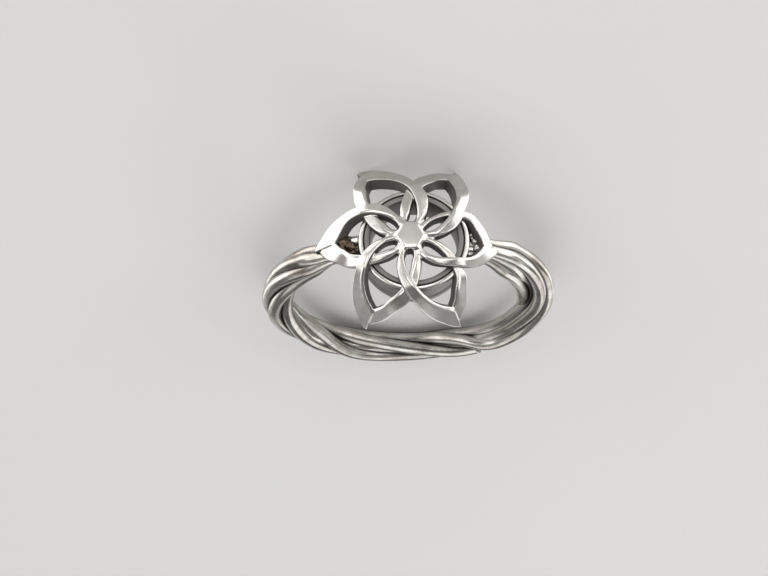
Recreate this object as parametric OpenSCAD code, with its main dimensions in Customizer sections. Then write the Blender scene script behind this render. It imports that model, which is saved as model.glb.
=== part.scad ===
// Flower ring: a band of twisted strands that carries an openwork flower on a collar.
// It is modelled as worn, flower up along Z, and then laid down on its side.

/* [Band] */
// Inside diameter, where the finger goes
finger_d = 17.4; // [14:0.1:23]
// Thickness of the whole twisted bundle
bundle_d = 2.34; // [1.8:0.02:3.2]
// Thickness of one strand
strand_d = 1.0; // [0.6:0.02:1.4]
// Angle round the ring where strand a is cut off, as 270 is the middle under the finger
cut_angle = 303; // [290:1:320]

/* [Flower] */
// Height of the flower's middle above the centre of the band
flower_z = 11.1; // [10:0.05:13]
// Radius at which the petals bend down
bend_r = 4.2; // [3:0.1:5.5]
// Slope of the petals beyond the bend
bend_slope = 0.9; // [0.3:0.05:1.3]
// Height of the ribbons' inner walls
ribbon_h = 1.2; // [0.6:0.05:1.8]
// Height of their outer walls at the tips
edge_h = 0.5; // [0.2:0.05:1.2]
// Rise of the ridge along each ribbon's inner edge
ridge_h = 0.07; // [0:0.01:0.2]
// Radius of the hub
hub_r = 0.95; // [0.4:0.05:1.4]
// Reach of the hub's six points
hub_reach = 1.35; // [1:0.05:2]

/* [Collar] */
// Radius of the collar at its rim
collar_r = 3.93; // [3:0.05:5]
// Radius of the hole through it
bore_r = 3.3; // [2.5:0.05:4.5]
// Height of the rim above the centre of the band
rim_z = 10.35; // [9.5:0.05:12]
// Height of the collar
collar_h = 2.5; // [1.5:0.05:3.5]

/* [Shown] */

/* [Hidden] */
silver = [0.76, 0.75, 0.73];
mid_r = (finger_d + bundle_d) / 2;
turn_r = bundle_d * 0.303;
strand_sides = 8;
end_angle = 110;

// Where each strand lies in the bundle, at angles round the ring that go from the
// left shoulder under the finger to the right shoulder. A strand's turn is 0 outward,
// 90 to the back, 180 inward, 270 to the front. The core starts in the middle of the
// bundle and comes out between strands b and c.
// [round the ring, turn of strands a, b, c, d, e, f and the core,
//  how far out strands a, b, c, d, e, f and the core lie, how far the bundle lies outward]
twist = [
    [110,  30, 300, 250, 195, 150,  90, 180,  1.05, 1.05, 1.05, 1.05, 1.05, 1.05, 0.10,  0.05],
    [128,  35, 326, 272, 205, 158,  96, 180,  1.05, 1.02, 1.00, 1.05, 1.05, 1.05, 0.10,  0.06],
    [145,  45, 374, 304, 224, 172, 104, 180,  1.00, 1.00, 1.00, 1.00, 1.00, 1.00, 0.15,  0.08],
    [162,  60, 392, 338, 258, 190, 110, 185,  1.00, 1.00, 1.00, 1.05, 1.00, 1.00, 0.25,  0.08],
    [180,  75, 408, 358, 290, 208, 116, 190,  1.00, 1.00, 1.00, 1.05, 1.00, 1.00, 0.45,  0.06],
    [200,  92, 430, 376, 326, 236, 134, 205,  1.00, 1.00, 1.00, 1.00, 1.00, 1.00, 0.60,  0.06],
    [220, 118, 452, 392, 352, 276, 186, 245,  1.00, 1.00, 1.00, 1.00, 1.00, 1.00, 0.60,  0.06],
    [240, 155, 470, 410, 368, 326, 262, 250,  1.00, 1.00, 1.00, 1.00, 1.00, 1.05, 0.30,  0.06],
    [260, 188, 485, 432, 388, 348, 312, 225,  1.00, 0.98, 0.97, 1.00, 1.00, 1.00, 0.10,  0.04],
    [275, 216, 494, 452, 408, 360, 328, 214,  1.00, 0.95, 0.94, 1.00, 1.00, 1.00, 0.15,  0.04],
    [288, 254, 520, 472, 424, 374, 338, 214,  1.00, 1.00, 1.00, 1.00, 1.00, 0.90, 0.25,  0.10],
    [300, 296, 566, 490, 438, 386, 350, 218,  1.00, 1.05, 0.90, 0.95, 1.00, 0.80, 0.40,  0.22],
    [312, 330, 630, 502, 452, 400, 360, 222,  1.00, 1.10, 0.80, 0.90, 1.00, 0.80, 0.55,  0.30],
    [326, 345, 664, 514, 474, 426, 380, 226,  0.95, 1.05, 0.85, 0.90, 1.00, 0.90, 0.75,  0.20],
    [340, 356, 682, 526, 492, 448, 402, 232,  1.00, 1.00, 0.85, 1.05, 1.00, 1.00, 1.00,  0.06],
    [360, 392, 706, 508, 535, 480, 438, 262,  1.00, 1.00, 0.60, 1.50, 1.00, 1.00, 1.00, -0.02],
    [380, 428, 738, 540, 564, 512, 470, 300,  1.00, 1.05, 0.60, 1.50, 1.08, 1.08, 1.00, -0.04],
    [400, 455, 766, 650, 600, 540, 498, 340,  1.15, 1.15, 1.10, 1.20, 1.15, 1.15, 1.00, -0.08],
    [416, 462, 774, 668, 608, 552, 508, 350,  1.15, 1.15, 1.15, 1.15, 1.15, 1.15, 1.00, -0.10],
    [430, 464, 776, 672, 610, 556, 512, 350,  1.12, 1.12, 1.12, 1.12, 1.12, 1.12, 1.00, -0.08],
];

// [direction of the petal, length against the edges below, bulge of the ribbon
// that runs over, bulge of the ribbon that runs under]
petals = [
    [ -4, -0.65, 1.00, 1.00],
    [61.5, 0.35, 0.92, 1.00],
    [120,  0.45, 0.98, 0.97],
    [180.4, -0.10, 1.12, 1.00],
    [242,  0.00, 1.00, 1.00],
    [300,  0.00, 1.02, 1.00],
];

// A petal's ribbons, from the hub to the tip.
// [inner edge along the petal, inner edge aside, outer edge along, outer edge aside, lift]
over = [
    [0.60, 0.35, 0.30, 0.80, 0.00],
    [0.98, 0.98, 0.62, 1.30, 0.00],
    [1.40, 1.37, 1.05, 1.76, 0.00],
    [2.05, 1.64, 1.80, 2.19, 0.02],
    [2.85, 1.74, 2.75, 2.44, 0.10],
    [3.60, 1.68, 3.80, 2.40, 0.15],
    [4.30, 1.47, 4.80, 2.15, 0.06],
    [4.90, 1.08, 5.65, 1.72, 0.00],
    [5.36, 0.60, 6.30, 1.10, 0.00],
    [5.75, 0.02, 7.00, 0.00, 0.00],
];
under = [
    [0.75, 0.20, 0.50, 0.60, -0.04],
    [1.10, 0.78, 0.80, 1.16, -0.05],
    [1.55, 1.06, 1.35, 1.57, -0.12],
    [2.20, 1.30, 2.10, 1.82, -0.40],
    [2.90, 1.39, 2.95, 1.98, -0.55],
    [3.60, 1.34, 3.75, 2.05, -0.45],
    [4.30, 1.18, 4.55, 1.90, -0.15],
    [4.90, 0.72, 5.35, 1.43, 0.00],
    [5.36, 0.36, 6.05, 0.93, -0.04],
    [5.75, -0.20, 6.85, 0.05, -0.06],
];

// The collar's wall, from the foot of the bore round to the foot outside.
// [distance from the outer wall, distance below the rim]
collar_wall = [
    [-0.63, 2.50], [-0.63, 0.14], [-0.54, 0.02], [-0.36, 0.00], [-0.30, 0.10],
    [-0.22, 0.02], [-0.06, 0.03], [0.00, 0.10], [0.00, 0.42], [-0.12, 0.56],
    [-0.20, 1.85], [-0.08, 1.98], [-0.08, 2.28], [-0.22, 2.50],
];

// Lumps of solder between the strands' ends and the collar.
// [along X, along Y, along Z, radius]
left_solder = [
    [-4.42, 0.28, 9.68, 0.46], [-4.62, -0.26, 9.62, 0.48], [-4.00, 0.10, 9.55, 0.50],
    [-4.10, -0.80, 9.30, 0.40], [-4.30, 0.95, 9.35, 0.38], [-3.95, 0.00, 8.70, 0.45],
];
right_solder = [
    [4.35, 0.55, 9.70, 0.36], [4.55, -0.15, 9.60, 0.34], [4.10, 0.10, 9.75, 0.30],
    [4.10, -0.75, 9.30, 0.38], [4.20, 0.95, 9.30, 0.36], [3.95, 0.00, 8.70, 0.45],
];

// Value at s of a smooth curve from p1 to p2.
function smooth_at(p0, p1, p2, p3, s) =
    0.5 * (2 * p1 + (p2 - p0) * s + (2 * p0 - 5 * p1 + 4 * p2 - p3) * s * s
        + (3 * p1 - p0 - 3 * p2 + p3) * s * s * s);

// The rows of a table with n - 1 rows more in each gap.
function smooth_rows(rows, n) = [
    for (i = [0:len(rows) - 2], k = [0:n - 1])
        smooth_at(rows[max(i - 1, 0)], rows[i], rows[i + 1],
            rows[min(i + 2, len(rows) - 1)], k / n),
    rows[len(rows) - 1]
];

// Index of the last row of twist that starts before an angle.
function row_before(a) = max([for (i = [0:len(twist) - 2]) twist[i][0] <= a ? i : 0]);

// The row of twist at any angle round the ring.
function twist_at(a) =
    let (i = row_before(a), s = (a - twist[i][0]) / (twist[i + 1][0] - twist[i][0]))
    smooth_at(twist[max(i - 1, 0)], twist[i], twist[i + 1],
        twist[min(i + 2, len(twist) - 1)], s);

// One ring of a strand's skin, square to the band.
function strand_ring(strand, a) =
    let (row = twist_at(a),
        out = turn_r * row[7 + strand],
        c = mid_r + row[15] + out * cos(row[strand]),
        r = strand_d / 2 * (strand == 2 || strand == 6 ? 1.06 : 1))
    [for (k = [0:strand_sides - 1])
        let (t = 360 * k / strand_sides + 20 * strand)
        [(c + r * cos(t)) * cos(a), out * sin(row[strand]) + r * sin(t), (c + r * cos(t)) * sin(a)]];

// How far the petals have dropped at a radius.
function dropped(r) = bend_slope / 2 * (sqrt(pow(r - bend_r, 2) + 1.44) + r - bend_r
    - sqrt(pow(bend_r, 2) + 1.44) + bend_r);

// A point on the flower's face.
function on_face(p, lift) = [p[0], p[1], flower_z - dropped(norm(p)) + lift];

// A petal's own point in the flower's plane; side is 1 for the ribbon that runs over.
function in_plane(petal, side, along, aside) =
    let (out = max(0, min(1, (along - 3.5) / 3.5)),
        x = along + petal[1] * out * out * (3 - 2 * out),
        bulge = side > 0 ? petal[2] : petal[3],
        grown = max(0, min(1, (along - 1) / 2)),
        y = side * aside * (1 + (bulge - 1) * grown))
    [x * cos(petal[0]) + y * sin(petal[0]), x * sin(petal[0]) - y * cos(petal[0])];

// Cross-section of a ribbon at one row of its table.
function ribbon_ring(petal, side, row) =
    let (p = in_plane(petal, side, row[0], row[1]),
        q = in_plane(petal, side, row[2], row[3]),
        a = on_face(p, row[4]),
        b = on_face(p * 0.74 + q * 0.26, row[4] + ridge_h),
        c = on_face(q, row[4] - 0.05),
        h = ribbon_h * 0.8 + (edge_h - ribbon_h * 0.8) * min(1, max(0, norm(q) - 1.5) / 3),
        low = 0.98 - side * 0.007,
        low_a = on_face(p * low, row[4]) - [0, 0, ribbon_h * (1 + side * 0.02)],
        low_c = on_face(q * low, row[4] - 0.05) - [0, 0, h],
        ring = [low_a, a, b, c, low_c])
    side > 0 ? ring : [for (k = [len(ring) - 1:-1:0]) ring[k]];

// A closed body through rings of points.
module skin(rings) {
    n = len(rings[0]);
    last = len(rings) - 1;
    polyhedron(
        points = [for (ring = rings, p = ring) p],
        faces = concat(
            [for (k = [1:n - 2]) [0, k, k + 1]],
            [for (k = [1:n - 2]) [last * n, last * n + k + 1, last * n + k]],
            [for (i = [0:last - 1], k = [0:n - 1])
                [i * n + k, (i + 1) * n + (k + 1) % n, i * n + (k + 1) % n]],
            [for (i = [0:last - 1], k = [0:n - 1])
                [i * n + k, (i + 1) * n + k, (i + 1) * n + (k + 1) % n]]),
        convexity = 6);
}

module ribbon(petal, side) {
    skin([for (row = smooth_rows(side > 0 ? over : under, 2)) ribbon_ring(petal, side, row)]);
}

module petals() {
    for (petal = petals) {
        ribbon(petal, 1);
        ribbon(petal, -1);
    }
}

// Distance from the middle to the hub's edge, which reaches out to each petal.
function hub_edge(t) = hub_r + (hub_reach - hub_r) * max([for (petal = petals)
    pow(max(0, 1 - abs((t - petal[0] + 540) % 360 - 180) / 32), 1.4)]);

module hub() {
    top = flower_z + 0.02;
    skin([for (level = [[0, -1.3], [0.9, -1.3], [1, -1.1], [1, -0.1], [0.94, 0.03], [0.7, 0.12], [0, 0.15]])
        [for (t = [3:10:359])
            let (r = 0.3 * (1 - level[0]) + hub_edge(t) * level[0])
            [r * cos(t), r * sin(t), top + level[1]]]]);
}

module collar() {
    rotate_extrude($fn = 56)
        polygon([for (p = collar_wall)
            [p[0] < -0.5 ? bore_r + p[0] + 0.63 : collar_r + p[0],
             rim_z - p[1] * collar_h / 2.5]]);
}

// The middle of the bundle, which the strands close up against.
module filling() {
    rotate([90, 0, 0]) rotate([0, 0, end_angle])
        rotate_extrude(angle = 540 - 2 * end_angle, $fn = 52)
            translate([mid_r, 0]) rotate(8) circle(r = turn_r * 1.1, $fn = 10);
}

// Where a strand ends, and how many rings of skin it has.
function last_angle(strand) = strand == 1 ? cut_angle : 540 - end_angle;
function ring_count(strand) = round((last_angle(strand) - end_angle) / 6.53);

// Angle of a strand's ring number k; each strand has its rings at places of its own.
function ring_angle(strand, k) = end_angle + (last_angle(strand) - end_angle)
    * (k == 0 ? 0 : k == ring_count(strand) ? 1 : (k + (strand - 4) * 0.1) / ring_count(strand));

module strands() {
    for (strand = [1:7])
        skin([for (k = [0:ring_count(strand)]) strand_ring(strand, ring_angle(strand, k))]);
}

module solder(lumps) {
    for (i = [0:len(lumps) - 2])
        hull() {
            translate([for (k = [0:2]) lumps[i][k]]) sphere(r = lumps[i][3], $fn = 8);
            translate([for (k = [0:2]) lumps[i + 1][k]]) sphere(r = lumps[i + 1][3] * 0.85, $fn = 7);
        }
}

module bore() {
    translate([0, 0, rim_z - collar_h - 1])
        cylinder(r = bore_r * 0.6 + collar_r * 0.4, h = collar_h + 1, $fn = 56);
}

module as_worn() {
    difference() {
        union() {
            strands();
            filling();
            solder(left_solder);
            solder(right_solder);
        }
        bore();
    }
    collar();
    petals();
    hub();
}

// Laid down, it rests on the tips of its two back petals and the far end of the band.
back_tip = ribbon_ring(petals[2], 1, over[len(over) - 1])[3];
far_end = [back_tip[1], back_tip[2] + mid_r];
tilt = acos(bundle_d / 2 / norm(far_end)) - atan2(far_end[1], far_end[0]);
front_y = max([for (r = [2:0.1:7])
    (flower_z + 0.15 + ridge_h - dropped(r)) * cos(tilt) + r * sin(tilt)]);
back_y = mid_r * cos(tilt) + bundle_d / 2;

module flower_ring() {
    color(silver)
        translate([0, (front_y - back_y) / 2, mid_r * sin(tilt) + bundle_d / 2])
            rotate([-tilt, 0, 0]) rotate([0, 0, 180]) rotate([-90, 0, 0])
                as_worn();
}

flower_ring();
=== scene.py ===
import math

import bmesh
import bpy
import numpy as np
from mathutils import Matrix, Vector, noise


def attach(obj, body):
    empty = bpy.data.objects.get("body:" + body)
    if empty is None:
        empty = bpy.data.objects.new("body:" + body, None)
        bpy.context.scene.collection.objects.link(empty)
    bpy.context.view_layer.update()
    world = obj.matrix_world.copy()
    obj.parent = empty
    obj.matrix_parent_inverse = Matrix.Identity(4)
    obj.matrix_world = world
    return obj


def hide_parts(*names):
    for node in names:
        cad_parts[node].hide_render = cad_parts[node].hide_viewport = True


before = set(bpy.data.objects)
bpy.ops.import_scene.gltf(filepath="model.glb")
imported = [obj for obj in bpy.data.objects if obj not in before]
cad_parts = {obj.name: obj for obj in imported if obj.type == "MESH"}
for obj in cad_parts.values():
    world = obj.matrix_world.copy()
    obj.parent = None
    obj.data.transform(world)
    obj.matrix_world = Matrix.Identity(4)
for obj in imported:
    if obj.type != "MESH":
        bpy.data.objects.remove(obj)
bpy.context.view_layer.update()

mm = 0.001

# The ring is shaped as worn, flower up along Z, in millimetres, and then laid on its side.
lying = {
    "tilt": 16.233,        # degrees; it rests on the band and on two petals' tips
    "shiftY": 0.4917,      # over the middle of its box
    "shiftZ": 3.9292,      # up until it stands on the floor
}


# x, y, z as worn to x, y, z as it lies
def turnDown(points):
    t = math.radians(lying["tilt"])
    x, y, z = np.asarray(points, float).T
    return np.stack([-x, -z * math.cos(t) - y * math.sin(t), z * math.sin(t) - y * math.cos(t)], 1)


def layDown(points):
    return (turnDown(points) + [0, lying["shiftY"], lying["shiftZ"]]) * mm


# from row i of a table to the next, s from 0 to 1, on one smooth curve through all of its rows
def between(rows, i, s):
    p0, p1, p2, p3 = rows[max(i - 1, 0)], rows[i], rows[i + 1], rows[min(i + 2, len(rows) - 1)]
    return 0.5 * (2 * p1 + (p2 - p0) * s + (2 * p0 - 5 * p1 + 4 * p2 - p3) * s * s
                  + (3 * p1 - p0 - 3 * p2 + p3) * s ** 3)


# a table's rows with n - 1 smooth ones in each gap
def smoothRows(rows, n):
    rows = np.array(rows, float)
    out = [between(rows, i, k / n) for i in range(len(rows) - 1) for k in range(n)]
    return np.array(out + [rows[-1]])


# how far x is through a stretch (where it starts, how long it is): 0 before it and 1 after it
def through(x, stretch):
    start, length = stretch
    return min(max((x - start) / length, 0.0), 1.0)


# the same, starting and ending softly
def softly(x, stretch):
    s = through(x, stretch)
    return s * s * (3 - 2 * s)


def mixed(a, b, share):
    return a + (b - a) * share


# vertices and faces of a closed body through rings of points
def skinRings(rings):
    n = len(rings[0])
    verts = [tuple(p) for ring in rings for p in ring]
    faces = []
    for i in range(len(rings) - 1):
        a, b = i * n, (i + 1) * n
        for k in range(n):
            m = (k + 1) % n
            faces.append((a + k, a + m, b + m, b + k))
    faces.append(tuple(range(n))[::-1])
    faces.append(tuple(range((len(rings) - 1) * n, len(rings) * n)))
    return verts, faces


# one object from bodies that are given as (vertices, faces), shaped as worn
def makePiece(name, parts):
    verts, faces = [], []
    for v, f in parts:
        start = len(verts)
        verts.extend(v)
        faces.extend(tuple(i + start for i in face) for face in f)
    mesh = bpy.data.meshes.new(name)
    mesh.from_pydata(layDown(verts).tolist(), [], faces)
    mesh.update()
    bm = bmesh.new()
    bm.from_mesh(mesh)
    bmesh.ops.recalc_face_normals(bm, faces=bm.faces)
    bm.to_mesh(mesh)
    bm.free()
    piece = bpy.data.objects.new(name, mesh)
    bpy.context.scene.collection.objects.link(piece)
    for polygon in mesh.polygons:
        polygon.use_smooth = True
    return piece


def applyModifiers(piece):
    graph = bpy.context.evaluated_depsgraph_get()
    mesh = bpy.data.meshes.new_from_object(piece.evaluated_get(graph))
    piece.modifiers.clear()
    old = piece.data
    piece.data = mesh
    bpy.data.meshes.remove(old)
    mesh.name = piece.name
    for polygon in mesh.polygons:
        polygon.use_smooth = True


# Petals and hub: cast as one, each ribbon with a flat top and walls square to it.
flower = {
    "height": 11.1,        # the flower's middle above the band's centre
    "bendAt": 4.2,         # radius where the petals bend down
    "bendSoft": 1.2,
    "bendSlope": 0.9,
    "innerWall": 0.9,      # depth of a ribbon's inner wall
    "outerWall": 0.72,
    "tipWall": 0.5,        # depth of the outer wall at the tips
    "ridge": 0.07,
    "ridgeAt": (0.5, 0.28),    # where across a ribbon it runs, near the hub and at the tips
    "outerLow": 0.05,      # how much lower a ribbon's outer edge lies
    "crown": 0.10,         # the ribbons are rounded over beside the hub
    "crownTop": 0.3,       # share of the crown that rises above the face
    "hubRadius": 1.06,
    "hubReach": 1.24,      # at its blunt points, one for each petal
    "hubPoint": 34,        # degrees to each side that a point of the hub takes up
    "hubMiddle": 0.3,
    "hubLonger": 0.7,      # the flat top is longer across the band than along it
    "corner": 0.08,        # how far the polished corners are rounded at the tips
    "hubCorner": 0.22,     # and near the hub
    "voxel": 0.045,
    "melt": 4,             # rounds of smoothing after the ribbons are fused
    "meltHub": 60,         # and more of them beside the hub
    "meltDepth": 0.5,      # how far below the faces that reaches
    "triangles": 180000,   # at most, in a full render
    "tipDark": 0.9,        # share of the walls' darkening left at the tips, painted a little lighter there for the light that reaches them
}

# Stretches (start, length) along a ribbon's inner or outer edge, or out from the flower's middle.
stretches = {
    "lengthen": (3.5, 3.5),     # a petal is drawn out to its own length
    "bulge": (1.0, 2.0),
    "leaveHub": (0.9, 0.8),     # a ribbon's inner edge may widen from here
    "reachBend": (4.4, 1.0),    # to here
    "leaveRoot": (0.3, 0.5),    # and its outer edge from here
    "endRoot": (2.0, 1.6),      # to here
    "reachTip": (4.2, 1.4),
    "turnFlat": (1.6, 1.6),     # rounded beside the hub, flat further out
    "crownStart": (0.8, 0.5),
    "thinOut": (1.5, 3.0),
    "meltEnd": (1.5, 0.6),
    "litTip": (2.6, 1.6),
    "faceOn": (0.42, 0.3),      # how squarely a point faces as its petal does: dark, then polished
}

# direction of the petal, length, how far the hole's outer end lies nearer to the hub; of the ribbon
# that runs over: bulge, widened inwards, widened outwards near the hub; and of the one under it
petalRows = [
    (-4, -0.65, 0.00, 0.88, 0.00, 0.00, 1.20, -0.15, 0.00),
    (61.5, 0.35, 0.00, 1.04, 0.05, 0.22, 1.00, 0.25, 0.00),
    (120, 0.45, 0.00, 1.08, 0.00, 0.32, 0.98, 0.18, 0.20),
    (180.4, -0.10, 0.32, 1.06, 0.00, 0.22, 1.02, 0.15, 0.00),
    (242, 0.00, 0.00, 1.00, 0.00, 0.00, 1.04, 0.20, 0.00),
    (300, 0.00, 0.00, 1.01, 0.08, 0.00, 1.00, 0.00, 0.00),
]

# inner edge along the petal and aside, outer edge along and aside, lift
overRows = [
    (0.60, 0.35, 0.30, 0.80, 0.00),
    (0.98, 0.98, 0.62, 1.30, 0.00),
    (1.40, 1.37, 1.05, 1.76, 0.00),
    (2.05, 1.64, 1.80, 2.19, 0.02),
    (2.85, 1.74, 2.75, 2.44, 0.10),
    (3.60, 1.68, 3.80, 2.40, 0.15),
    (4.30, 1.47, 4.80, 2.15, 0.06),
    (4.90, 1.08, 5.65, 1.72, 0.00),
    (5.36, 0.60, 6.30, 1.10, 0.00),
    (5.62, 0.20, 6.80, 0.45, 0.00),
    (5.75, 0.00, 6.95, -0.02, -0.02),
]
underRows = [
    (0.75, 0.20, 0.50, 0.60, -0.04),
    (1.10, 0.78, 0.80, 1.16, -0.05),
    (1.55, 1.06, 1.35, 1.57, -0.09),
    (2.20, 1.30, 2.10, 1.82, -0.16),
    (2.90, 1.39, 2.95, 1.98, -0.20),
    (3.60, 1.34, 3.75, 2.05, -0.18),
    (4.30, 1.18, 4.55, 1.92, -0.07),
    (4.90, 0.72, 5.35, 1.43, -0.03),
    (5.36, 0.36, 6.00, 0.95, -0.07),
    (5.70, -0.08, 6.60, 0.12, -0.09),
]


# how far the faces have come down at a radius
def dropped(r):
    bend, soft = flower["bendAt"], flower["bendSoft"]
    return flower["bendSlope"] / 2 * (math.hypot(r - bend, soft) + r - math.hypot(bend, soft))


def onFace(p, lift):
    return np.array([p[0], p[1], flower["height"] - dropped(math.hypot(*p)) + lift])


# the direction square to the petals' faces
def faceUp(p):
    r = max(math.hypot(p[0], p[1]), 0.01)
    past = r - flower["bendAt"]
    slope = flower["bendSlope"] / 2 * (past / math.hypot(past, flower["bendSoft"]) + 1)
    up = np.array([slope * p[0] / r, slope * p[1] / r, 1.0])
    return up / np.linalg.norm(up)


# a place along and beside a petal, in X and Y
def inPlane(petal, side, bulge, along, aside):
    direction, longer = petal[:2]
    x = along + longer * softly(along, stretches["lengthen"])
    y = side * aside * (1 + (bulge - 1) * through(along, stretches["bulge"]))
    t = math.radians(direction)
    return np.array([x * math.cos(t) + y * math.sin(t), x * math.sin(t) - y * math.cos(t)])


# where a ribbon's inner and outer edge run, in X and Y
def ribbonEdges(petal, side, row):
    bulge, inwards, outwards = petal[3:6] if side > 0 else petal[6:9]
    innerAlong, innerAside, outerAlong, outerAside = row[:4]
    middle = softly(innerAlong, stretches["leaveHub"]) * (1 - softly(innerAlong, stretches["reachBend"]))
    root = softly(outerAlong, stretches["leaveRoot"]) * (1 - softly(outerAlong, stretches["endRoot"]))
    nearer = petal[2] * softly(innerAlong, stretches["reachTip"])
    return (inPlane(petal, side, bulge, innerAlong - nearer, innerAside - inwards * middle),
            inPlane(petal, side, bulge, outerAlong, outerAside + outwards * root))


# a closed outline with each corner cut by a short curve
def roundCorners(points, reach, steps=3):
    points = [np.array(p) for p in points]
    out = []
    for i, corner in enumerate(points):
        before, after = points[i - 1], points[(i + 1) % len(points)]
        a = before - corner
        b = after - corner
        la, lb = np.linalg.norm(a), np.linalg.norm(b)
        start = corner + a * min(reach / la, 0.45)
        end = corner + b * min(reach / lb, 0.45)
        for k in range(steps + 1):
            s = k / steps
            out.append((1 - s) ** 2 * start + 2 * s * (1 - s) * corner + s * s * end)
    return out


# a ribbon's outline across, from the foot of its inner wall round to the foot of its outer one
def ribbonRing(petal, side, row):
    inner, outer = ribbonEdges(petal, side, row)
    lift = row[4]
    r = np.linalg.norm(outer)
    flat = softly(r, stretches["turnFlat"])
    crown = flower["crown"] * (1 - flat) * softly(r, stretches["crownStart"])
    ridge = flower["ridge"] * flat + flower["crownTop"] * crown
    a = onFace(inner, lift - crown)
    b = onFace(mixed(inner, outer, mixed(*flower["ridgeAt"], flat)), lift + ridge)
    c = onFace(outer, lift - flower["outerLow"] - crown)
    depth = mixed(flower["outerWall"], flower["tipWall"], through(r, stretches["thinOut"]))
    innerFoot = a - faceUp(inner) * flower["innerWall"]
    outerFoot = c - faceUp(outer) * depth
    reach = mixed(flower["hubCorner"], flower["corner"], flat)
    return roundCorners([innerFoot, a, b, c, outerFoot], reach)


# the hub's radius: a blunt point runs out at each petal
def hubEdge(degrees):
    aside = min(abs((degrees - petal[0] + 540) % 360 - 180) for petal in petalRows)
    return mixed(flower["hubRadius"], flower["hubReach"], max(0, 1 - aside / flower["hubPoint"]))


# across the hub, distance out and rise over the ribbons
hubProfile = [(0, -1.0), (0.9, -1.0), (1, -0.9), (1, -0.42), (0.95, -0.24), (0.85, -0.08), (0.70, 0.04),
              (0.52, 0.09), (0, 0.11)]


def hubBody():
    top = flower["height"]
    rings = []
    for out, rise in hubProfile:
        ring = []
        for degrees in range(0, 360, 6):
            r = mixed(flower["hubMiddle"], hubEdge(degrees), out)
            t = math.radians(degrees)
            longer = 1 + flower["hubLonger"] * (1 - out)
            ring.append((r * math.cos(t), r * math.sin(t) * longer, top + rise))
        rings.append(ring)
    return skinRings(rings)


bodies = [hubBody()]
for petal in petalRows:
    for side, rows in ((1, overRows), (-1, underRows)):
        bodies.append(skinRings([ribbonRing(petal, side, row) for row in smoothRows(rows, 8)]))
petals = makePiece("petals_and_hub", bodies)
print("petals and hub laid out")


# melts a piece's bodies into one skin, as casting does, and thins it to so many triangles
def fuse(piece, voxel, melt, most):
    remesh = piece.modifiers.new("fuse", "REMESH")
    remesh.mode = "VOXEL"
    remesh.voxel_size = voxel * mm
    soften = piece.modifiers.new("soften", "SMOOTH")
    soften.factor = 0.5
    soften.iterations = melt
    applyModifiers(piece)
    triangles = 2 * len(piece.data.polygons)
    if triangles > most:
        thin = piece.modifiers.new("thin", "DECIMATE")
        thin.ratio = most / triangles
    applyModifiers(piece)
    print(piece.name, "fused,", len(piece.data.polygons), "faces")


fuse(petals, flower["voxel"] * (1), flower["melt"], flower["triangles"])


# points or directions of a laid mesh, turned back to the ring as worn
def asWorn(vectors):
    t = math.radians(lying["tilt"])
    x, y, z = vectors.T
    return np.stack([-x, -y * math.sin(t) - z * math.cos(t), z * math.sin(t) - y * math.cos(t)], 1)


def wornPoints(piece):
    spots = np.array([v.co for v in piece.data.vertices]) / mm
    return asWorn(spots - [0, lying["shiftY"], lying["shiftZ"]])


# the ribbons run into the hub without an edge, as worn metal does
def meltHub():
    group = petals.vertex_groups.new(name="hub")
    for i, spot in enumerate(wornPoints(petals)):
        near = 1 - softly(math.hypot(spot[0], spot[1]), stretches["meltEnd"])
        if near > 0 and spot[2] > flower["height"] - flower["meltDepth"]:
            group.add([i], near, "REPLACE")
    melt = petals.modifiers.new("melt", "SMOOTH")
    melt.factor = 0.5
    melt.iterations = flower["meltHub"] // 1
    melt.vertex_group = "hub"
    applyModifiers(petals)
    petals.vertex_groups.clear()


meltHub()


# marks each point of a mesh with how much of the wall colour it takes, 0 to 1
def markDeep(piece, howDeep):
    facing = asWorn(np.array([v.normal for v in piece.data.vertices]))
    deep = piece.data.attributes.new("deep", "FLOAT", "POINT")
    deep.data.foreach_set("value", [howDeep(*pair) for pair in zip(wornPoints(piece), facing)])


# the walls stay dark with blackening; at the tips they are painted a little lighter, for the light that
# reaches them there
def petalDeep(spot, facing):
    r = math.hypot(spot[0], spot[1])
    dark = mixed(1.0, flower["tipDark"], softly(r, stretches["litTip"]))
    return dark * (1 - softly(float(facing @ faceUp(spot)), stretches["faceOn"]))


markDeep(petals, petalDeep)

# Collar: an open tube with a moulded rim.
collar = {
    "radius": 3.93,
    "strandsStop": 3.615,  # radius inside its wall at which the strands end
    "rimHeight": 10.35,
    "shiftX": 0.26,        # it sits a little nearer to the right petal
    "corner": 0.05,
    "steps": 200,
}

# distance from the outer wall, distance below the rim
collarWall = [
    (-0.80, 2.50), (-0.80, 0.14), (-0.75, 0.06), (-0.43, 0.03), (-0.39, 0.18),
    (-0.33, 0.18), (-0.29, 0.00), (-0.03, 0.10), (0.00, 0.16), (0.00, 0.42), (-0.12, 0.56),
    (-0.20, 1.85), (-0.08, 1.98), (-0.08, 2.28), (-0.22, 2.50),
]


# vertices and faces of a closed outline (radius, height) turned round Z
def turned(profile, steps):
    n = len(profile)
    verts = []
    for i in range(steps):
        t = 2 * math.pi * i / steps
        verts.extend((collar["shiftX"] + r * math.cos(t), r * math.sin(t), z) for r, z in profile)
    faces = []
    for i in range(steps):
        for k in range(n):
            a, b = i * n, (i + 1) % steps * n
            faces.append((a + k, a + (k + 1) % n, b + (k + 1) % n, b + k))
    return verts, faces


outline = [(collar["radius"] + out, collar["rimHeight"] - below) for out, below in collarWall]
collarPiece = makePiece("collar", [turned(roundCorners(outline, collar["corner"], 2), collar["steps"])])
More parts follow.
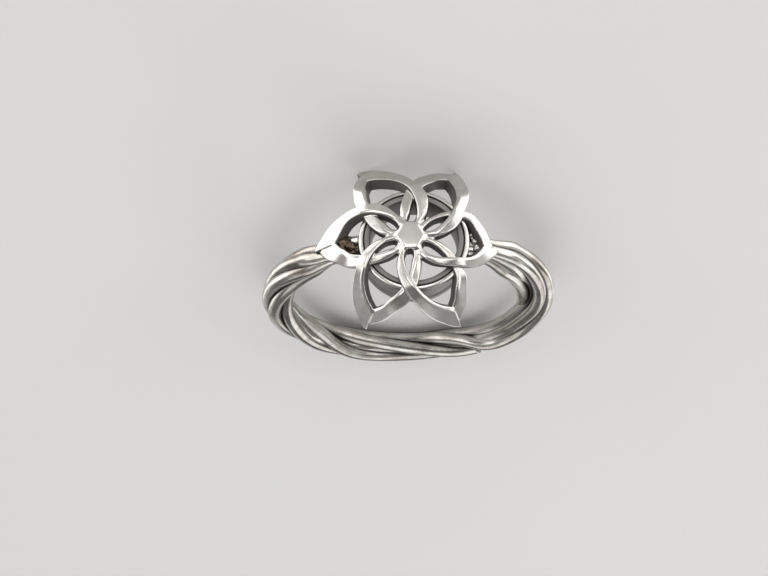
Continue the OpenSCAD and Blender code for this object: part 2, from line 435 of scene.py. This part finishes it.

# how dark each part of the collar is painted, and from where
collarDarkness = {
    "insideFrom": -0.77,        # distances from the outer wall
    "lipFrom": -0.29,
    "lipDepth": 0.3,            # distances below the rim
    "grooveDepth": 0.08,
    "insideFade": (0.75, 0.35),
    "outsideStart": (0.14, 0.1),
    "inside": 0.7,
    "lip": 0.7,
    "outside": 0.65,
}


def collarDeep(spot, facing):
    below = collar["rimHeight"] - spot[2]
    out = math.hypot(spot[0] - collar["shiftX"], spot[1]) - collar["radius"]
    # the inside wall: darkest just below the rim, lighter further down
    if out < collarDarkness["insideFrom"]:
        return mixed(1.0, collarDarkness["inside"], softly(below, collarDarkness["insideFade"]))
    # the rim's inner strip, darker still in its groove
    if out < collarDarkness["lipFrom"] and below < collarDarkness["lipDepth"]:
        return 1.0 if below > collarDarkness["grooveDepth"] else collarDarkness["lip"]
    # the outer wall, darker from a little below the rim
    return collarDarkness["outside"] * softly(below, collarDarkness["outsideStart"])


markDeep(collarPiece, collarDeep)
print("collar turned")

# Band: seven strands of round wire, six of them round a core that comes out at the right.
band = {
    "finger": 17.4,        # inside diameter
    "bundle": 2.34,
    "strandsOut": 0.303,   # share of the bundle's width that the outer strands lie out from its middle
    "strand": 1.0,
    "thicker": {2: 1.06, 6: 1.06},
    "under": 270,          # degrees round the ring to its middle under the finger
    "endAngle": 110,
    "cutAngle": 303,       # strand 1 is cut off here
    "pinch": 0.62,         # how close the strands lie at their ends, under the flower
    "pinchEnd": (14, 14),  # degrees from the ends, the stretch over which they part
    "thinner": 0.2,        # how much thinner they are there
    "wobble": 0.035,
    "wobbleEvery": 11,     # degrees
    "rings": 360,
    "sides": 28,
}

# round the ring, turn of the seven strands, how far out each of them lies, how far the bundle does
twistRows = [
    (110, 30, 300, 250, 195, 150, 90, 180, 1.05, 1.05, 1.05, 1.05, 1.05, 1.05, 0.10, 0.05),
    (128, 35, 326, 272, 205, 158, 96, 180, 1.05, 1.02, 1.00, 1.05, 1.05, 1.05, 0.10, 0.06),
    (145, 45, 374, 304, 224, 172, 104, 180, 1.00, 1.00, 1.00, 1.00, 1.00, 1.00, 0.15, 0.08),
    (162, 60, 392, 338, 258, 190, 110, 185, 1.00, 1.00, 1.00, 1.05, 1.00, 1.00, 0.25, 0.08),
    (180, 75, 408, 358, 290, 208, 116, 190, 1.00, 1.00, 1.00, 1.05, 1.00, 1.00, 0.45, 0.06),
    (200, 92, 430, 376, 326, 236, 134, 205, 1.00, 1.00, 1.00, 1.00, 1.00, 1.00, 0.60, 0.06),
    (220, 118, 452, 392, 352, 276, 186, 245, 1.00, 1.00, 1.00, 1.00, 1.00, 1.00, 0.60, 0.06),
    (240, 155, 470, 410, 368, 326, 262, 250, 1.00, 1.00, 1.00, 1.00, 1.00, 1.05, 0.30, 0.06),
    (260, 188, 485, 432, 388, 348, 312, 225, 1.00, 0.98, 0.97, 1.00, 1.00, 1.00, 0.10, 0.04),
    (275, 216, 494, 452, 408, 360, 328, 214, 1.00, 0.95, 0.94, 1.00, 1.00, 1.00, 0.15, 0.04),
    (288, 254, 520, 472, 424, 374, 338, 214, 1.00, 1.00, 1.00, 1.00, 1.00, 0.90, 0.25, 0.10),
    (300, 296, 566, 490, 438, 386, 350, 218, 1.00, 1.05, 0.90, 0.95, 1.00, 0.80, 0.40, 0.22),
    (312, 330, 630, 502, 452, 400, 360, 222, 1.00, 1.10, 0.80, 0.90, 1.00, 0.80, 0.55, 0.30),
    (326, 345, 664, 514, 474, 426, 380, 226, 0.95, 1.05, 0.85, 0.90, 1.00, 0.90, 0.75, 0.20),
    (340, 356, 682, 526, 492, 448, 402, 232, 1.00, 1.00, 0.85, 1.05, 1.00, 1.00, 1.00, 0.06),
    (360, 392, 706, 508, 535, 480, 438, 262, 1.00, 1.00, 0.60, 1.50, 1.00, 1.00, 1.00, -0.02),
    (380, 428, 738, 540, 564, 512, 470, 300, 1.00, 1.05, 0.60, 1.50, 1.08, 1.08, 1.00, -0.04),
    (400, 455, 766, 650, 600, 540, 498, 336, 1.15, 1.15, 0.70, 1.25, 1.15, 1.15, 1.15, -0.08),
    (416, 462, 774, 668, 608, 552, 508, 342, 1.15, 1.15, 0.60, 1.25, 1.15, 1.15, 1.20, -0.10),
    (430, 464, 776, 672, 610, 556, 512, 342, 1.12, 1.12, 0.60, 1.20, 1.12, 1.12, 1.20, -0.08),
]


def twistAt(angle):
    rows = np.array(twistRows, float)
    i = max(k for k in range(len(rows) - 1) if rows[k][0] <= angle or k == 0)
    return between(rows, i, (angle - rows[i][0]) / (rows[i + 1][0] - rows[i][0]))


# a strand's outline where it passes an angle round the ring
def strandRing(strand, angle, sides):
    row = twistAt(angle)
    turn, share, bundleOut = row[strand], row[7 + strand], row[15]
    fromEnd = band["under"] - band["endAngle"] - abs(angle - band["under"])
    nearEnd = 1 - softly(fromEnd, band["pinchEnd"])
    out = band["bundle"] * band["strandsOut"] * share * mixed(1, band["pinch"], nearEnd)
    phase = math.radians(turn)
    middle = (band["finger"] + band["bundle"]) / 2 + bundleOut + out * math.cos(phase)
    a = math.radians(angle)
    wire = band["strand"] / 2 * band["thicker"].get(strand, 1) * (1 - band["thinner"] * nearEnd)
    ring = []
    for k in range(sides):
        t = 2 * math.pi * k / sides
        spot = (angle / band["wobbleEvery"], strand * 7.3, math.cos(t) * 0.8)
        uneven = noise.noise(Vector(spot))
        r = wire * (1.0 + band["wobble"] * uneven)
        u = middle + r * math.cos(t)
        ring.append((u * math.cos(a), out * math.sin(phase) + r * math.sin(t), u * math.sin(a)))
    return ring


def strandBody(strand, steps, sides):
    first = band["endAngle"]
    last = band["cutAngle"] if strand == 1 else 2 * band["under"] - first
    rings = [strandRing(strand, first + (last - first) * k / steps, sides) for k in range(steps + 1)]
    verts, faces = skinRings(rings)
    stop = collar["strandsStop"]
    cut = []
    for x, y, z in verts:
        aside = x - collar["shiftX"]
        r = math.hypot(aside, y)
        if z > 0 and r < stop:
            x, y = collar["shiftX"] + aside * stop / r, y * stop / r
        cut.append((x, y, z))
    return cut, faces


strands = []
for strand, letter in enumerate("abcdefg", 1):
    rings, sides = ((band["rings"], band["sides"]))
    strands.append(makePiece("strand_" + letter, [strandBody(strand, rings, sides)]))
print("strands twisted")

# Solder: rough lumps that hold the strands' ends to the collar.
solder = {
    "lumps": ((1.6, 0.28), (4.0, 0.20), (9.0, 0.10)),    # how many to a ball's radius, how high
    "voxel": 0.05,
    "melt": 2,
    "triangles": 60000,
}

# x, y, z, radius
leftSolder = [
    (-4.70, 0.10, 9.42, 0.52), (-4.90, -0.35, 9.40, 0.48), (-4.35, -0.10, 9.50, 0.55),
    (-4.15, -0.60, 9.30, 0.46), (-4.20, 0.42, 9.25, 0.36), (-5.10, -0.10, 9.15, 0.46),
    (-4.55, -0.75, 9.25, 0.42), (-3.95, 0.00, 8.90, 0.45),
    (-3.85, -0.30, 9.50, 0.40), (-3.90, 0.32, 9.45, 0.36),
    (-4.60, 0.45, 9.30, 0.40), (-5.20, -0.45, 9.20, 0.34),
]
rightSolder = [
    (4.35, 0.55, 9.45, 0.30), (4.55, 0.05, 9.60, 0.26), (4.25, -0.50, 9.45, 0.34),
    (4.75, -0.40, 9.35, 0.28), (4.75, 0.40, 9.30, 0.22), (3.95, 0.00, 8.90, 0.45),
]


# a lumpy ball
def ball(x, y, z, radius, seed):
    bm = bmesh.new()
    bmesh.ops.create_icosphere(bm, subdivisions=4, radius=1)
    verts = []
    for v in bm.verts:
        lump = sum(noise.noise(v.co * fine + Vector((seed, fine, 0))) * high
                   for fine, high in solder["lumps"])
        verts.append(tuple(Vector((x, y, z)) + v.co * radius * (1 + lump)))
    faces = [tuple(v.index for v in f.verts) for f in bm.faces]
    bm.free()
    return verts, faces


solders = []
for name, lumps in (("solder_left", leftSolder), ("solder_right", rightSolder)):
    piece = makePiece(name, [ball(*lump, seed=i * 3.7) for i, lump in enumerate(lumps)])
    fuse(piece, solder["voxel"], solder["melt"], solder["triangles"])
    solders.append(piece)


# a colour as read off a screen, made linear
def linear(hexColour):
    value = hexColour.lstrip("#")
    out = []
    for i in (0, 2, 4):
        c = int(value[i:i + 2], 16) / 255
        out.append(c / 12.92 if c <= 0.04045 else ((c + 0.055) / 1.055) ** 2.4)
    return (*out, 1.0)


# a node with its settings, its input values and what is linked into it; a Mix node of colours takes
# its share in socket 0 and its two colours in 6 and 7
def addNode(tree, kind, settings=None, inputs=None):
    node = tree.nodes.new(kind)
    for key, value in (settings or {}).items():
        setattr(node, key, value)
    for key, value in (inputs or {}).items():
        socket = node.inputs[key]
        if isinstance(value, bpy.types.NodeSocket):
            tree.links.new(value, socket)
        else:
            socket.default_value = value
    return node


# Sterling silver, cast and polished by hand, then blackened with liver of sulphur and rubbed back: the
# high places stay bright, while walls and grooves keep a matt brown-grey skin of sulphide. The darkening
# of grooves and recesses, found by ambient occlusion, is partly that skin and partly painted shade.
silverLook = {
    "bright": "#D3D1CD",
    "dull": "#BDB9B2",
    "wall": "#413E3A",    # walls that the polishing felt doesn't reach
    # colour in the recesses that the ambient occlusion finds: blackening and painted shade
    "oxideAndShade": "#2C2620",
    "roughBright": 0.20,
    "roughWall": 0.50,
    "recess": 0.5,        # mm, how far the darkening, partly blackening and partly painted shade, looks for a wall nearby
    "recessFrom": 0.10,
    "recessTo": 0.52,
    "patch": 1.4,         # mm, cloudy patches left by the polishing
    "patchFrom": 0.4,
    "patchTo": 0.75,
    "scratch": 0.09,      # mm, marks of the polishing felt; real ones are finer
    "scratchDepth": 0.02,
    "scratchShows": 0.15,
}


def silverMaterial(name, look):
    material = bpy.data.materials.new(name)
    material.use_nodes = True
    tree = material.node_tree
    tree.nodes.clear()
    place = addNode(tree, "ShaderNodeTexCoord").outputs["Object"]
    # darker where other surfaces lie near: partly the blackening left in hollows, partly painted shade
    clear = addNode(tree, "ShaderNodeAmbientOcclusion", {"samples": 8},
                    {"Distance": look["recess"] * mm})
    polishAndLight = addNode(tree, "ShaderNodeMapRange", {"interpolation_type": "SMOOTHSTEP"},
                    {"Value": clear.outputs["AO"],
                     "From Min": look["recessFrom"], "From Max": look["recessTo"]})
    cloud = addNode(tree, "ShaderNodeTexNoise", None,
                    {"Vector": place, "Scale": 1 / (look["patch"] * mm),
                     "Detail": 4.0, "Roughness": 0.6})
    cloudy = addNode(tree, "ShaderNodeMapRange", None,
                     {"Value": cloud.outputs["Fac"],
                      "From Min": look["patchFrom"], "From Max": look["patchTo"]})
    metal = addNode(tree, "ShaderNodeMix", {"data_type": "RGBA"},
                    {0: cloudy.outputs["Result"], 6: linear(look["bright"]), 7: linear(look["dull"])})
    deep = addNode(tree, "ShaderNodeAttribute", {"attribute_name": "deep"}).outputs["Fac"]
    walls = addNode(tree, "ShaderNodeMix", {"data_type": "RGBA"},
                    {0: deep, 6: metal.outputs[2], 7: linear(look["wall"])})
    colour = addNode(tree, "ShaderNodeMix", {"data_type": "RGBA"},
                     {0: polishAndLight.outputs["Result"], 6: linear(look["oxideAndShade"]), 7: walls.outputs[2]})
    cleanAndLit = addNode(tree, "ShaderNodeMath", {"operation": "SUBTRACT", "use_clamp": True},
                    {0: polishAndLight.outputs["Result"], 1: deep})
    rough = addNode(tree, "ShaderNodeMapRange", None,
                    {"Value": cleanAndLit.outputs["Value"], "From Min": 0.0, "From Max": 1.0,
                     "To Min": look["roughWall"], "To Max": look["roughBright"]})
    marks = addNode(tree, "ShaderNodeTexNoise", None,
                    {"Vector": place, "Scale": 1 / (look["scratch"] * mm),
                     "Detail": 3.0, "Roughness": 0.7})
    bump = addNode(tree, "ShaderNodeBump", None,
                   {"Strength": look["scratchShows"], "Distance": look["scratchDepth"] * mm,
                    "Height": marks.outputs["Fac"]})
    shader = addNode(tree, "ShaderNodeBsdfPrincipled", None,
                     {"Base Color": colour.outputs[2], "Metallic": cleanAndLit.outputs["Value"],
                      "Roughness": rough.outputs["Result"], "Normal": bump.outputs["Normal"]})
    addNode(tree, "ShaderNodeOutputMaterial", None, {"Surface": shader.outputs["BSDF"]})
    return material


polishedSterling = silverMaterial("polished_cast_sterling", silverLook)
# The collar's walls are painted darker than the petals' walls: painted shade, chiefly for the inside of
# the tube.
blackenedShadedTube = silverMaterial("blackened_and_shaded_sterling_tube", dict(silverLook, wall="#3C3934"))

# Sterling wire, drawn round, twisted and blackened: bright along the strands' tops, darkened towards and
# between them by ambient occlusion, which is partly the blackening and partly painted shade.
wireLook = dict(silverLook, bright="#CECAC4", dull="#8E877D", oxideAndShade="#1A130E",
                recess=0.9, recessFrom=0.56, recessTo=0.84, roughBright=0.22, patch=2.2, scratch=0.12)
blackenedShadedWire = silverMaterial("blackened_and_shaded_sterling_wire", wireLook)
# Silver solder that ran and was left as it froze: rough, and brown on the left from the blackening.
brownLook = dict(silverLook, bright="#6A5B4D", dull="#2A2019",
                 roughBright=0.38, patch=0.35, scratch=0.15)
brownSolder = silverMaterial("blackened_silver_solder", brownLook)
brightLook = dict(silverLook, dull="#A9A199", patch=0.4, scratch=0.15)
brightSolder = silverMaterial("bright_silver_solder", brightLook)

finishes = [(petals, polishedSterling), (collarPiece, blackenedShadedTube)]
finishes += [(strand, blackenedShadedWire) for strand in strands]
finishes += zip(solders, (brownSolder, brightSolder))
for piece, finish in finishes:
    piece.data.materials.clear()
    piece.data.materials.append(finish)
    for point in piece.data.vertices:      # what touches the floor is flat there
        point.co.z = max(point.co.z, 0.0)
    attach(piece, "root")
    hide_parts("flower_ring")
print("silver finished")

# Camera, floor and lights.
view = {
    "distance": 130,
    "elevation": 66.0,          # degrees, seen against the ring as worn
    "yaw": -1.2,
    "aim": (-1.86, 0, 1.95),
    "pictureWidth": 768 / 13.3,    # mm at the ring, from 13.3 pixels to a mm
    "sensor": 36,               # mm
}


def addCamera():
    e, yaw = math.radians(view["elevation"]), math.radians(view["yaw"])
    back = np.array([math.sin(yaw) * math.cos(e), -math.cos(yaw) * math.cos(e), math.sin(e)])
    right = np.array([math.cos(yaw), math.sin(yaw), 0.0])
    up = np.cross(back, right)
    spot = layDown([np.array(view["aim"]) + back * view["distance"]])[0]
    right, up, back = turnDown([right, up, back])
    data = bpy.data.cameras.new("camera")
    data.sensor_width = view["sensor"]
    data.sensor_fit = "HORIZONTAL"
    data.lens = view["sensor"] * view["distance"] / view["pictureWidth"]
    data.clip_start = 0.005
    data.clip_end = 50
    camera = bpy.data.objects.new("camera", data)
    placed = np.stack([right, up, back, spot], 1)
    camera.matrix_world = Matrix(placed.tolist() + [[0, 0, 0, 1]])
    bpy.context.scene.collection.objects.link(camera)
    bpy.context.scene.camera = camera


def addFloor():
    mesh = bpy.data.meshes.new("floor")
    half = 3.0        # metres
    corners = [(-half, -half, 0), (half, -half, 0), (half, half, 0), (-half, half, 0)]
    mesh.from_pydata(corners, [], [(0, 1, 2, 3)])
    floor = bpy.data.objects.new("floor", mesh)
    bpy.context.scene.collection.objects.link(floor)
    # matt painted board: pale and even, without a gleam
    material = bpy.data.materials.new("matt_painted_board")
    material.use_nodes = True
    shader = material.node_tree.nodes["Principled BSDF"]
    shader.inputs["Base Color"].default_value = linear("#F0EFED")
    shader.inputs["Roughness"].default_value = 0.7
    mesh.materials.append(material)


# a square white light, as bright as a lit card of this linear value
def addSoftbox(name, spot, aim, width, bright):
    data = bpy.data.lights.new(name, "AREA")
    data.shape = "SQUARE"
    data.size = width * mm
    data.energy = bright * math.pi * (width * mm) ** 2
    light = bpy.data.objects.new(name, data)
    light.location = Vector(spot) * mm
    light.rotation_euler = (Vector(aim) * mm - light.location).to_track_quat("-Z", "Y").to_euler()
    light.visible_camera = False
    bpy.context.scene.collection.objects.link(light)


# each softbox: degrees round from the camera's side by way of the picture's left, degrees up, how far
# off, width, brightness
softboxes = {
    "front_low": (0, 15, 300, 150, 2.2),
    "front_right_low": (315, 17, 300, 190, 1.9),
    "front_left_low": (45, 17, 300, 190, 1.9),
    "left_low": (90, 17, 300, 205, 0.3),
    "right_low": (270, 17, 300, 205, 0.5),
    "back_low": (215, 18, 300, 205, 1.3),
    "front_left": (60, 52, 300, 195, 0.28),
    "front_right": (300, 52, 300, 195, 0.20),
    "back_left": (125, 42, 300, 180, 0.8),
    "back_right": (235, 42, 300, 180, 0.6),
    "back": (180, 62, 300, 270, 1.0),
    "over": (0, 90, 300, 160, 0.8),
}
# lights that lie just over the floor and shine up at the flower's sides: place, width, brightness
cards = {
    "card_left": (46, -20, 60, 1.5),
    "card_right": (-46, -20, 60, 1.4),
    "card_near_left": (11, -15, 13, 1.4),
    "card_near_right": (-11.5, -14, 12, 1.4),
}

world = bpy.data.worlds.new("studio")
world.use_nodes = True
world.node_tree.nodes["Background"].inputs["Color"].default_value = linear("#C6C6C6")
world.node_tree.nodes["Background"].inputs["Strength"].default_value = 0.3
bpy.context.scene.world = world
bpy.context.scene.view_settings.view_transform = "Standard"
addCamera()
addFloor()
for name, (turn, rise, far, width, bright) in softboxes.items():
    t, e = math.radians(turn), math.radians(rise)
    spot = (far * math.sin(t) * math.cos(e), -far * math.cos(t) * math.cos(e), far * math.sin(e))
    addSoftbox("softbox_" + name, spot, (0, 0, 5), width, bright)
for name, (x, y, width, bright) in cards.items():
    addSoftbox(name, (x, y, 1), (x, y, 100), width, bright)      # faces straight up
print("stage set")
